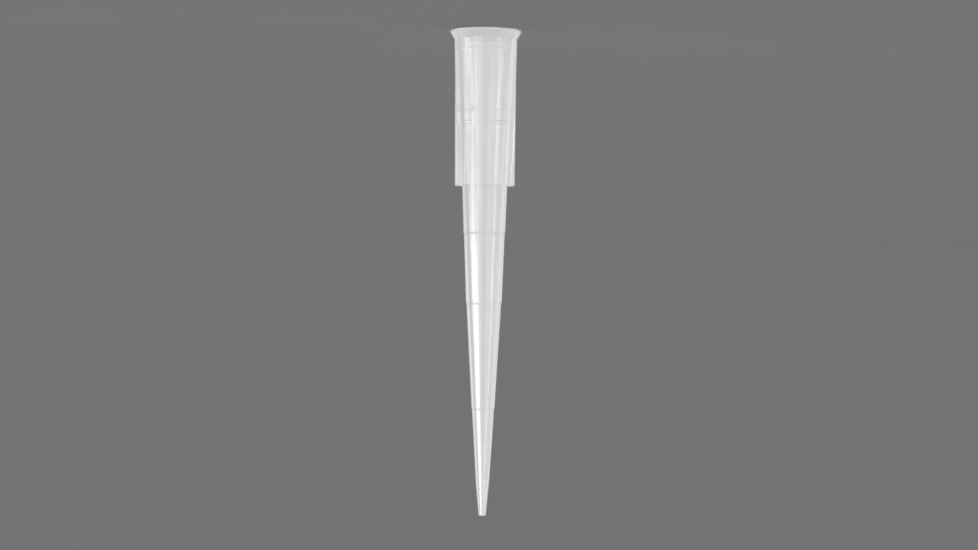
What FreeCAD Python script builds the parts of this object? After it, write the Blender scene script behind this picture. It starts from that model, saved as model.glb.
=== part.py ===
import FreeCAD, Part
import math
import os
import Sketcher

# A 200 microlitre pipette tip, moulded in one piece of natural polypropylene.
# Sizes are in millimetres. The tip stands on its rim, mouth down: the origin is the centre
# of the rim's flat end face, and +Z runs along the axis from the mouth to the orifice.
#
# Outside, a flared rim leads into a plain collar, which ends in a square shoulder. Below it
# the stem narrows to the orifice, with a fine step round it at each of three fill levels.
# Inside, the mouth's bevel and counterbore lead to the tapered seat that grips a pipette's
# nozzle, with a raised sealing band near its end. Past a small ledge the bore holds the liquid.

SIZES = {
    # lengths inside, one after the other from the mouth to the shoulder
    "bevel_length": 1.10,
    "counterbore_length": 0.75,
    "counterbore_end": 0.10,
    "seat_length": 5.74,
    "seal_bevel": 0.08,
    "seal_length": 0.45,
    "seal_to_ledge": 1.05,
    "ledge_length": 0.34,
    "ledge_to_shoulder": 6.28,
    # lengths of the stem, one after the other from the shoulder to the orifice
    "shoulder_to_mark_100": 4.83,
    "mark_100_to_mark_50": 7.27,
    "mark_50_to_mark_10": 10.89,
    "mark_10_to_point": 7.79,
    "point_length": 3.25,
    # lengths outside, from the rim
    "flare_length": 0.92,
    "head_length": 4.08,
    # the bore of the stem, as diameters
    "bore_at_ledge": 4.20,
    "bore_at_shoulder": 3.67,
    "bore_at_mark_100": 3.26,
    "bore_at_mark_50": 2.65,
    "bore_at_mark_10": 1.62,
    "bore_at_point": 0.76,
    "bore_at_orifice": 0.45,
    # the wall of the stem, square to the axis
    "wall_at_shoulder": 0.47,
    "wall_at_mark_100": 0.50,
    "wall_at_mark_50": 0.485,
    "wall_at_mark_10": 0.345,
    "wall_at_point": 0.285,
    "wall_at_orifice": 0.135,
    # each fill mark is a step inwards with a short bevel
    "mark_step": 0.03,
    "mark_bevel": 0.08,
    # how far the collar and rim stand out, each from the one before, starting at the stem
    "shoulder_width": 0.76,
    "collar_draft": 0.06,
    "head_draft": 0.09,
    "flare_width": 0.50,
    # inside the collar
    "lip_width": 0.48,
    "seat_wall": 0.575,
    "counterbore_step": 0.04,
    "counterbore_draft": 0.03,
    "seal_diameter": 4.40,
    "seal_height": 0.04,
    "ledge_width": 0.05,
    # the outer edges are broken by a small bevel, and the shoulder's inner corner is rounded
    "rim_edge": 0.05,
    "lip_edge": 0.06,
    "shoulder_edge": 0.05,
    "orifice_edge": 0.03,
    "shoulder_root": 0.15,
}

NODE = "pipette_tip"
# a cut, fillet or chamfer that takes less than this, in cubic millimetres, has missed the solid
LEAST_CHANGE = 1e-6


def add_sizes(doc):
    """The sheet that every dimension is bound to, one aliased cell for each size."""
    sheet = doc.addObject("Spreadsheet::Sheet", "Sizes")
    for row, (name, number) in enumerate(SIZES.items(), start=1):
        sheet.set(f"A{row}", name)
        sheet.set(f"B{row}", str(number))
        sheet.setAlias(f"B{row}", name)
    doc.recompute()
    return sheet


def size(*names):
    """The sum of the named sizes, as an expression."""
    return " + ".join(f"Sizes.{name}" for name in names)


def station_heights():
    """The height of each station, as an expression: every length starts where the last one ends."""
    steps = (
        ("bevel_end", "bevel_length"),
        ("counterbore", "counterbore_length"),
        ("seat", "counterbore_end"),
        ("seal_start", "seat_length"),
        ("seal_top", "seal_bevel"),
        ("seal_foot", "seal_length"),
        ("seal_end", "seal_bevel"),
        ("ledge_start", "seal_to_ledge"),
        ("ledge", "ledge_length"),
        ("shoulder", "ledge_to_shoulder"),
        ("mark_100", "shoulder_to_mark_100"),
        ("mark_50", "mark_100_to_mark_50"),
        ("mark_10", "mark_50_to_mark_10"),
        ("point", "mark_10_to_point"),
        ("orifice", "point_length"),
    )
    lengths = []
    heights = {"rim": "0"}
    for station, length in steps:
        lengths.append(length)
        heights[station] = size(*lengths)
    return heights


def bore_radius(station):
    """The bore's radius at a station of the stem, as an expression."""
    return f"Sizes.bore_at_{station} / 2"


def stem_radius(station):
    """The stem's outer radius at a station, as an expression: the bore with the wall round it."""
    return f"Sizes.bore_at_{station} / 2 + Sizes.wall_at_{station}"


def outside_outline(height):
    """The corners of the half section of the outside, as (radius, height), from the axis and back."""
    collar = f"{stem_radius('shoulder')} + Sizes.shoulder_width"
    head = f"{collar} + Sizes.collar_draft"
    flare_foot = f"{head} + Sizes.head_draft"
    corners = [
        ("0", height["rim"]),
        (f"{flare_foot} + Sizes.flare_width", height["rim"]),
        (flare_foot, size("flare_length")),
        (head, size("flare_length", "head_length")),
        (collar, height["shoulder"]),
        (stem_radius("shoulder"), height["shoulder"]),
    ]
    for mark in ("mark_100", "mark_50", "mark_10"):
        corners.append((stem_radius(mark), height[mark]))
        corners.append((f"{stem_radius(mark)} - Sizes.mark_step", f"{height[mark]} + Sizes.mark_bevel"))
    corners.append((stem_radius("point"), height["point"]))
    corners.append((stem_radius("orifice"), height["orifice"]))
    corners.append(("0", height["orifice"]))
    return corners


def bore_outline(height):
    """The corners of the half section of the bore, as (radius, height), from the axis and back."""
    flare_foot = f"{stem_radius('shoulder')} + {size('shoulder_width', 'collar_draft', 'head_draft')}"
    mouth = f"{flare_foot} + Sizes.flare_width - Sizes.lip_width"
    seat = f"{flare_foot} - Sizes.seat_wall"
    counterbore = f"{seat} + Sizes.counterbore_step"
    seal = "Sizes.seal_diameter / 2"
    return [
        ("0", height["rim"]),
        (mouth, height["rim"]),
        (f"{counterbore} + Sizes.counterbore_draft", height["bevel_end"]),
        (counterbore, height["counterbore"]),
        (seat, height["seat"]),
        (f"{seal} + Sizes.seal_height", height["seal_start"]),
        (seal, height["seal_top"]),
        (seal, height["seal_foot"]),
        (f"{seal} + Sizes.seal_height", height["seal_end"]),
        (f"{bore_radius('ledge')} + Sizes.ledge_width", height["ledge_start"]),
        (bore_radius("ledge"), height["ledge"]),
        (bore_radius("shoulder"), height["shoulder"]),
        (bore_radius("mark_100"), height["mark_100"]),
        (bore_radius("mark_50"), height["mark_50"]),
        (bore_radius("mark_10"), height["mark_10"]),
        (bore_radius("point"), height["point"]),
        (bore_radius("orifice"), height["orifice"]),
        ("0", height["orifice"]),
    ]


def add_sketch(body, name, corners):
    """A closed outline in the body's own XZ plane, with each corner held at its radius and height."""
    sketch = body.newObject("Sketcher::SketchObject", name)
    plane = next(item for item in body.Origin.OriginFeatures if item.Role == "XZ_Plane")
    sketch.AttachmentSupport = [(plane, "")]
    sketch.MapMode = "FlatFace"
    places = [
        FreeCAD.Vector(sketch.evalExpression(radius), sketch.evalExpression(height), 0)
        for radius, height in corners
    ]
    for start, end in zip(places, places[1:] + places[:1]):
        sketch.addGeometry(Part.LineSegment(start, end), False)
    origin, start_point, end_point = -1, 1, 2
    last = len(corners) - 1
    for line, (radius, height) in enumerate(corners):
        previous = line - 1 if line else last
        sketch.addConstraint(Sketcher.Constraint("Coincident", previous, end_point, line, start_point))
        for direction, place, expression in (
            ("DistanceX", places[line].x, radius),
            ("DistanceY", places[line].y, height),
        ):
            held = Sketcher.Constraint(direction, origin, start_point, line, start_point, place)
            number = sketch.addConstraint(held)
            if expression != "0":
                sketch.setExpression(f"Constraints[{number}]", expression)
    return sketch


def turn(body, kind, name, sketch):
    """A full turn of the sketch about the tip's axis: a Revolution adds, and a Groove cuts."""
    feature = body.newObject(f"PartDesign::{kind}", name)
    feature.Profile = sketch
    feature.ReferenceAxis = (sketch, ["V_Axis"])
    feature.Angle = 360
    body.Document.recompute()
    return feature


def dress_edge(body, kind, name, place, amount):
    """Fillet or chamfer the one circular edge at this place, as (radius, height), by the named size."""
    base = body.Tip
    radius, height = (base.evalExpression(expression) for expression in place)
    found = []
    for number, edge in enumerate(base.Shape.Edges, start=1):
        if not isinstance(edge.Curve, Part.Circle):
            continue
        off = abs(edge.Curve.Radius - radius) + abs(edge.Curve.Center.z - height)
        found.append((off, f"Edge{number}"))
    feature = body.newObject(f"PartDesign::{kind}", name)
    feature.Base = (base, [min(found)[1]])
    feature.setExpression("Radius" if kind == "Fillet" else "Size", f"Sizes.{amount}")
    body.Document.recompute()
    if abs(feature.Shape.Volume - base.Shape.Volume) < LEAST_CHANGE:
        raise RuntimeError(f"{name} changed nothing")
    return feature


def make_tip(doc):
    """The whole tip as one body: the outside turned, the bore grooved out, and the edges rounded."""
    body = doc.addObject("PartDesign::Body", "Tip")
    body.Label = NODE
    body.Placement = FreeCAD.Placement(FreeCAD.Vector(0, 0, 0), FreeCAD.Rotation())
    height = station_heights()
    outside = outside_outline(height)
    inside = bore_outline(height)
    solid = turn(body, "Revolution", "Outside", add_sketch(body, "OutsideOutline", outside))
    grooved = turn(body, "Groove", "Bore", add_sketch(body, "BoreOutline", inside))
    if solid.Shape.Volume - grooved.Shape.Volume < LEAST_CHANGE:
        raise RuntimeError("the bore cut nothing")
    _, rim, _, _, collar, shoulder_root = outside[:6]
    orifice = outside[-2]
    mouth = inside[1]
    dress_edge(body, "Chamfer", "RimEdge", rim, "rim_edge")
    dress_edge(body, "Chamfer", "LipEdge", mouth, "lip_edge")
    dress_edge(body, "Chamfer", "ShoulderEdge", collar, "shoulder_edge")
    dress_edge(body, "Fillet", "ShoulderRoot", shoulder_root, "shoulder_root")
    dress_edge(body, "Chamfer", "OrificeEdge", orifice, "orifice_edge")
    return body


def check(doc, body):
    """Stop if any object failed to build, or the body isn't one sound solid."""
    for item in doc.Objects:
        if "Invalid" in item.State or "Error" in item.State:
            raise RuntimeError(f"{item.Label} failed: {item.State}")
    shape = body.Shape
    if shape.isNull() or not shape.isValid() or len(shape.Solids) != 1:
        raise RuntimeError(f"{body.Label} is not one sound solid")


def print_fills(sheet):
    """Print what the bore holds from the orifice up to each fill mark: it should be near the mark."""
    sections = (
        ("point", "orifice", "point_length"),
        ("mark_10", "point", "mark_10_to_point"),
        ("mark_50", "mark_10", "mark_50_to_mark_10"),
        ("mark_100", "mark_50", "mark_100_to_mark_50"),
    )
    fill = 0
    for upper, lower, length in sections:
        wide = sheet.get(f"bore_at_{upper}") / 2
        narrow = sheet.get(f"bore_at_{lower}") / 2
        fill += math.pi / 3 * sheet.get(length) * (wide**2 + wide * narrow + narrow**2)
        print(f"filled to {upper}: {fill:.1f} microlitres")


def main():
    doc = FreeCAD.newDocument("PipetteTip")
    sheet = add_sizes(doc)
    body = make_tip(doc)
    doc.recompute()
    check(doc, body)
    os.makedirs("parts", exist_ok=True)
    body.Shape.exportStep(f"parts/{body.Label}.step")
    print(f"{body.Label}: {body.Shape.Volume:.2f} mm3 of plastic")
    print_fills(sheet)


main()
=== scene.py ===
import math

import bmesh
import bpy
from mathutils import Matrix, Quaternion, Vector


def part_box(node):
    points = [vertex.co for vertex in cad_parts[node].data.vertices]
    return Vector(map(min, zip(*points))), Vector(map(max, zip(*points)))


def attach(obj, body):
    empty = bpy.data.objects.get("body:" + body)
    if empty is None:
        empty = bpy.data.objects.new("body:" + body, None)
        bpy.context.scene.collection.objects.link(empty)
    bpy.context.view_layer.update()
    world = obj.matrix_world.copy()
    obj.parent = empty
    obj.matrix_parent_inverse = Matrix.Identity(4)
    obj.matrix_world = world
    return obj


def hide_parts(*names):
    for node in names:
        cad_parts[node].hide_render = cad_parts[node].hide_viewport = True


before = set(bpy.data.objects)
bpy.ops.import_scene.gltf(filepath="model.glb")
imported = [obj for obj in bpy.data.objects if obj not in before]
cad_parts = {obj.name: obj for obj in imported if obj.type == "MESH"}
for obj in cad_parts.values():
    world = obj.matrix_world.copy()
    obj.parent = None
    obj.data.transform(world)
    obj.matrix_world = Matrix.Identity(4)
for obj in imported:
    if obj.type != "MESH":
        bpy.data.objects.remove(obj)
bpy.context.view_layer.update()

# A 200 microlitre pipette tip: one thin, hollow moulding in natural polypropylene. It stands on
# its rim, mouth down, with its axis on Z and +Z towards the orifice.

MM = 0.001
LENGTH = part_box("pipette_tip")[1][2] / MM


# ------------------------------------------------------------------ sizes, in millimetres

# Heights above the rim's end face.
FLARE = 0.93
HEAD = 5.0
SHOULDER = 15.97
MARKS = (20.84, 28.11, 39.00)
POINT = LENGTH - 3.25

# The outside's radii. The mouth flares out from the collar, and the stem narrows past each mark.
RIM_R = 3.735
NECK_R = RIM_R - 0.52
HEAD_R = NECK_R - 0.09
COLLAR_R = HEAD_R - 0.06
STEM_R = 2.305
MARK_RS = (2.115, 1.795, 1.140)
POINT_R = 0.665
ORIFICE_R = 0.36

# A mark is a low step that runs round the stem: how far it steps in, and over what height.
MARK_STEP = 0.05
MARK_RISE = 0.16

# The bore, from the mouth inwards: a lead-in bevel, a shallow counterbore, the tapered seat with a
# raised sealing band in it, and a ledge that the taper to the orifice starts from.
LEAD_IN = 0.87
LEAD_IN_RS = (RIM_R - 0.535, 2.735)
COUNTERBORE = 1.91
COUNTERBORE_R = 2.68
COUNTERBORE_END = 0.04
SEAT_R = 2.635
BAND = (7.70, 8.29)
BAND_R = 2.24
BAND_HEIGHT = 0.015
BAND_BEVEL = 0.02
LEDGE = (9.37, 9.675)
LEDGE_RS = (2.148, 2.112)
LEDGE_STEPS = (0.035, 0.03)
BORE_AT_MARKS = (1.63, 1.325, 0.81)
BORE_AT_SHOULDER = 1.835
BORE_AT_POINT = 0.38
ORIFICE_BORE = 0.225

# How far each kind of corner is softened: crisp steps, the edges at the two ends, and bends that
# have no edge.
CRISP = 0.01
RIM_EDGE = 0.12
LIP_EDGE = 0.03
LEAD_IN_EDGE = 0.05
ORIFICE_EDGE = 0.025
BEND = 0.30

# How finely the moulding is meshed: each softened corner, and each turn round the axis. A run longer
# than this has a point held this close to each end, which keeps its shading straight.
CORNER_STEPS = 4
STEPS_ROUND = 192
LONG_RUN = 0.3
HELD_END = 0.05


# ------------------------------------------------------------------ the moulding

def outside():
    """The outside's corners from the rim to the orifice, as radius, height and softening."""
    yield RIM_R, 0, RIM_EDGE
    yield NECK_R, FLARE, CRISP
    yield HEAD_R, HEAD, BEND
    yield COLLAR_R, SHOULDER, CRISP
    yield STEM_R, SHOULDER, CRISP
    for height, radius in zip(MARKS, MARK_RS):
        yield radius + MARK_STEP / 2, height - MARK_RISE / 2, CRISP
        yield radius - MARK_STEP / 2, height + MARK_RISE / 2, CRISP
    yield POINT_R, POINT, BEND
    yield ORIFICE_R, LENGTH, ORIFICE_EDGE


def bore():
    """The bore's corners from the orifice back to the mouth."""
    yield ORIFICE_BORE, LENGTH, ORIFICE_EDGE
    yield BORE_AT_POINT, POINT, BEND
    for height, radius in zip(reversed(MARKS), reversed(BORE_AT_MARKS)):
        yield radius, height, BEND
    yield BORE_AT_SHOULDER, SHOULDER, BEND
    for height, radius, step in zip(reversed(LEDGE), reversed(LEDGE_RS), reversed(LEDGE_STEPS)):
        yield radius - step / 2, height + step / 2, CRISP
        yield radius + step / 2, height - step / 2, CRISP
    yield BAND_R, BAND[1] + BAND_BEVEL / 2, CRISP
    yield BAND_R - BAND_HEIGHT, BAND[1] - BAND_BEVEL / 2, CRISP
    yield BAND_R - BAND_HEIGHT, BAND[0] + BAND_BEVEL / 2, CRISP
    yield BAND_R, BAND[0] - BAND_BEVEL / 2, CRISP
    yield SEAT_R, COUNTERBORE + COUNTERBORE_END / 2, CRISP
    yield COUNTERBORE_R, COUNTERBORE - COUNTERBORE_END / 2, CRISP
    yield LEAD_IN_RS[1], LEAD_IN, LEAD_IN_EDGE
    yield LEAD_IN_RS[0], 0, LIP_EDGE


def turned(name, corners):
    """A closed outline of soft corners, turned once round the tip's axis."""
    bm = bmesh.new()
    outline = [bm.verts.new((radius * MM, 0, height * MM)) for radius, height, _ in corners]
    for here, after in zip(outline, outline[1:] + outline[:1]):
        bm.edges.new((here, after))
    for corner, (_, _, softening) in zip(outline, corners):
        bmesh.ops.bevel(bm, geom=[corner], offset=softening * MM, affect="VERTICES",
                        segments=CORNER_STEPS, profile=0.5, material=-1, clamp_overlap=True)
    for run in [edge for edge in bm.edges if edge.calc_length() > LONG_RUN * MM]:
        for end in list(run.verts):
            bmesh.utils.edge_split(run, end, HELD_END * MM / run.calc_length())
    bmesh.ops.spin(bm, geom=bm.verts[:] + bm.edges[:], axis=(0, 0, 1), cent=(0, 0, 0),
                   angle=2 * math.pi, steps=STEPS_ROUND, use_merge=True)
    bmesh.ops.recalc_face_normals(bm, faces=bm.faces)
    for face in bm.faces:
        face.smooth = True
    mesh = bpy.data.meshes.new(name)
    bm.to_mesh(mesh)
    bm.free()
    piece = bpy.data.objects.new(name, mesh)
    bpy.context.scene.collection.objects.link(piece)
    return piece


# ------------------------------------------------------------------ materials

def linear(code):
    """An sRGB hex colour as the linear colour that a socket takes."""
    parts = [int(code[i:i + 2], 16) / 255 for i in (1, 3, 5)]
    return [c / 12.92 if c <= 0.04045 else ((c + 0.055) / 1.055) ** 2.4 for c in parts] + [1.0]


def add_node(tree, kind, values=(), links=(), tones=()):
    """Add a node, with its sockets' values, other nodes' sockets linked in, and a ramp's tones."""
    node = tree.nodes.new(kind)
    for name, value in dict(values).items():
        node.inputs[name].default_value = value
    for name, socket in dict(links).items():
        tree.links.new(socket, node.inputs[name])
    for index, (place, code) in enumerate(tones):
        node.color_ramp.elements[index].position = place
        node.color_ramp.elements[index].color = linear(code)
    return node


def new_material(name):
    """A material with nodes, as the material, its tree and its main shader."""
    material = bpy.data.materials.new(name)
    material.use_nodes = True
    tree = material.node_tree
    return material, tree, tree.nodes["Principled BSDF"]


def grain(across, along):
    """The scale of a noise whose grain is this many millimetres across the tip and along it."""
    return 1 / (across * MM), 1 / (across * MM), 1 / (along * MM)


def moulded_polypropylene():
    """Natural polypropylene, injection moulded in a polished, turned mould: nearly clear in so thin a
    wall, with a trace of milk, gloss on both faces, and faint streaks where the melt flowed."""
    material, tree, shader = new_material("injection-moulded natural polypropylene")
    place = add_node(tree, "ShaderNodeTexCoord").outputs["Object"]

    # Haze: streaks about 2 mm across, drawn out along the tip to 14 mm, the way the melt ran.
    along = add_node(tree, "ShaderNodeMapping", values={"Scale": grain(2, 14)}, links={"Vector": place})
    haze = add_node(tree, "ShaderNodeTexNoise", values={"Scale": 1.0, "Detail": 3.0, "Roughness": 0.55},
                    links={"Vector": along.outputs["Vector"]})
    tint = add_node(tree, "ShaderNodeValToRGB", links={"Fac": haze.outputs["Fac"]},
                    tones=((0.3, "#fafaf9"), (0.7, "#ffffff")))
    tree.links.new(tint.outputs["Color"], shader.inputs["Base Color"])

    # Gloss: a polish that is a little duller in patches of half a millimetre.
    patches = add_node(tree, "ShaderNodeTexNoise", values={"Scale": 1 / (0.5 * MM), "Detail": 2.0},
                       links={"Vector": place})
    gloss = add_node(tree, "ShaderNodeMapRange", values={"To Min": 0.06, "To Max": 0.10},
                     links={"Value": patches.outputs["Fac"]})
    tree.links.new(gloss.outputs["Result"], shader.inputs["Roughness"])

    # Surface: fine turning rings left by the mould, 0.3 mm apart where the real ones are nearer 0.05,
    # which would be too fine to show, over a slow waviness as long as the haze, where the wall shrank.
    rings = add_node(tree, "ShaderNodeMapping", values={"Scale": grain(9, 0.3)}, links={"Vector": place})
    turning = add_node(tree, "ShaderNodeTexNoise", values={"Scale": 1.0, "Detail": 1.0},
                       links={"Vector": rings.outputs["Vector"]})
    fine = add_node(tree, "ShaderNodeBump", values={"Strength": 1.0, "Distance": 0.0002 * MM},
                    links={"Height": turning.outputs["Fac"]})
    sink = add_node(tree, "ShaderNodeTexNoise", values={"Scale": 1.0, "Detail": 1.0},
                    links={"Vector": along.outputs["Vector"]})
    slow = add_node(tree, "ShaderNodeBump", values={"Strength": 1.0, "Distance": 0.002 * MM},
                    links={"Height": sink.outputs["Fac"], "Normal": fine.outputs["Normal"]})
    tree.links.new(slow.outputs["Normal"], shader.inputs["Normal"])

    # Milk: the little light that doesn't go straight through is scattered about a millimetre deep.
    shader.inputs["IOR"].default_value = 1.49
    shader.inputs["Transmission Weight"].default_value = 0.999
    shader.inputs["Subsurface Weight"].default_value = 1.0
    shader.inputs["Subsurface Radius"].default_value = (1.0, 1.0, 1.0)
    shader.inputs["Subsurface Scale"].default_value = 1.0 * MM
    return material


def matt_card():
    """Pale grey card, pressed from pulp: quite without gloss, with a faint tooth and mottle."""
    material, tree, shader = new_material("pressed matt card")
    place = add_node(tree, "ShaderNodeTexCoord").outputs["Object"]
    mottle = add_node(tree, "ShaderNodeTexNoise", values={"Scale": 1 / (30 * MM), "Detail": 4.0},
                      links={"Vector": place})
    tint = add_node(tree, "ShaderNodeValToRGB", links={"Fac": mottle.outputs["Fac"]},
                    tones=((0.3, "#d7d7d7"), (0.7, "#dadada")))
    tree.links.new(tint.outputs["Color"], shader.inputs["Base Color"])
    pulp = add_node(tree, "ShaderNodeTexNoise", values={"Scale": 1 / (0.8 * MM), "Detail": 2.0},
                    links={"Vector": place})
    tooth = add_node(tree, "ShaderNodeBump", values={"Strength": 0.3, "Distance": 0.05 * MM},
                     links={"Height": pulp.outputs["Fac"]})
    tree.links.new(tooth.outputs["Normal"], shader.inputs["Normal"])
    shader.inputs["Roughness"].default_value = 0.9
    shader.inputs["Specular IOR Level"].default_value = 0.0
    return material


# ------------------------------------------------------------------ the piece

tip = turned("moulded_tip", list(outside()) + list(bore()))
tip.data.materials.append(moulded_polypropylene())
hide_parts("pipette_tip")
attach(tip, "root")


# ------------------------------------------------------------------ floor, light and camera

MIDDLE = Vector((0, 0, LENGTH / 2)) * MM

# In metres: the floor's half width and its drop below the rim, and the tent's half width.
FLOOR_HALF = 3.0
FLOOR_DROP = 0.02 * MM
TENT_HALF = 0.5


def lay_floor():
    """A pale floor, just clear of the rim, which the tip doesn't mirror or show through its wall."""
    bm = bmesh.new()
    bmesh.ops.create_grid(bm, x_segments=1, y_segments=1, size=FLOOR_HALF)
    mesh = bpy.data.meshes.new("floor")
    bm.to_mesh(mesh)
    bm.free()
    floor = bpy.data.objects.new("floor", mesh)
    floor.location.z = -FLOOR_DROP
    bpy.context.scene.collection.objects.link(floor)
    floor.data.materials.append(matt_card())
    floor.visible_glossy = False
    floor.visible_transmission = False
    floor.visible_shadow = False
    return floor


def hang(name, light, place, turn):
    """Put a light in the scene, out of the camera's sight."""
    lamp = bpy.data.objects.new(name, light)
    lamp.location = place
    lamp.rotation_mode = "QUATERNION"
    lamp.rotation_quaternion = turn
    lamp.visible_camera = False
    bpy.context.scene.collection.objects.link(lamp)
    return lamp


def panel(name, place, width, height, brightness, roll=0.0):
    """A soft panel that faces the tip's middle and lights the tip but not the floor."""
    light = bpy.data.lights.new(name, "AREA")
    light.shape = "RECTANGLE"
    light.size = width
    light.size_y = height
    light.energy = math.pi * width * height * brightness
    turn = (MIDDLE - place).to_track_quat("-Z", "Y") @ Quaternion((0, 0, 1), math.radians(roll))
    lamp = hang(name, light, place, turn)
    lamp.light_linking.receiver_collection = off_the_floor
    return lamp


def tent_side(name, way, brightness):
    """One square side of the box of soft light that closes round the tip."""
    panel(name, MIDDLE + Vector(way) * TENT_HALF, 2 * TENT_HALF, 2 * TENT_HALF, brightness)


def strip(name, azimuth, low, high, wide, brightness, roll=0.0, distance=0.4):
    """A strip light between two elevations, at an azimuth from the camera's side towards +X."""
    around = math.radians(azimuth)
    bottom = distance * math.tan(math.radians(low))
    top = distance * math.tan(math.radians(high))
    place = MIDDLE + Vector((distance * math.sin(around), -distance * math.cos(around), (bottom + top) / 2))
    width = 2 * distance * math.tan(math.radians(wide / 2)) * math.cos(math.radians(roll))
    panel(name, place, width, (top - bottom) / math.cos(math.radians(roll)), brightness, roll)


floor = lay_floor()
off_the_floor = bpy.data.collections.new("off the floor")
off_the_floor.objects.link(floor)
off_the_floor.collection_objects[0].light_linking.link_state = "EXCLUDE"

tent_side("tent_back", (0, 1, 0), 0.42)
tent_side("tent_front", (0, -1, 0), 0.52)
tent_side("tent_left", (1, 0, 0), 0.37)
tent_side("tent_right", (-1, 0, 0), 0.52)
tent_side("tent_top", (0, 0, 1), 0.15)
tent_side("tent_bottom", (0, 0, -1), 0.45)

# Each strip has its azimuth, its lower and upper ends and its width, in degrees, and its brightness.
strip("behind", 180, -11.2, 44, 88, 0.065, distance=0.5)
strip("behind_left", 165, -0.8, 25, 19, 0.34)
strip("behind_right", -140, -20, 9, 22, 0.17)
strip("key_upper", 62.7, -3, 17, 20, 4.8, roll=50)
strip("key_lower", 82, -6.8, -0.5, 19, 3.7, roll=45)
strip("fill_near", 43, -1, 25, 10, 1.5)
strip("fill_far", 33, -12, 25, 36, 1.1)
strip("side_lower", -52, -12, -1, 16, 1.2)
strip("side_upper", -52, -1, 6, 14, 0.6)

overhead = bpy.data.lights.new("overhead", "SUN")
overhead.energy = 0.27
overhead.angle = math.radians(60)
hang("overhead", overhead, MIDDLE, Quaternion((1, 0, 0), math.radians(-15)))

world = bpy.data.worlds.new("studio")
world.use_nodes = True
world.node_tree.nodes["Background"].inputs["Color"].default_value = linear("#737373")
bpy.context.scene.world = world
bpy.context.scene.view_settings.view_transform = "Standard"

# Light goes round and round inside so clear a wall, so it is followed for many bounces.
cycles = bpy.context.scene.cycles
cycles.max_bounces = 128
cycles.transmission_bounces = 128
cycles.glossy_bounces = 128
cycles.diffuse_bounces = 128
cycles.sample_clamp_indirect = 10.0
cycles.filter_width = 1.7
cycles.use_denoising = True

# The camera looks along +Y from a little below the tip's middle, rolled upside down, so that the
# mouth is at the top of the view as it is in use.
EYE = Vector((-0.51, -224.2, 22.94)) * MM
TARGET = Vector((-0.51, 0, 25.17)) * MM
LEAN = math.radians(0.45)

lens = bpy.data.cameras.new("camera")
lens.lens = 80.0
lens.clip_start = 0.01
lens.clip_end = 20.0
camera = bpy.data.objects.new("camera", lens)
bpy.context.scene.collection.objects.link(camera)
camera.location = EYE
camera.rotation_mode = "QUATERNION"
camera.rotation_quaternion = (TARGET - EYE).to_track_quat("-Z", "Y") @ Quaternion((0, 0, 1), math.pi + LEAN)
bpy.context.scene.camera = camera
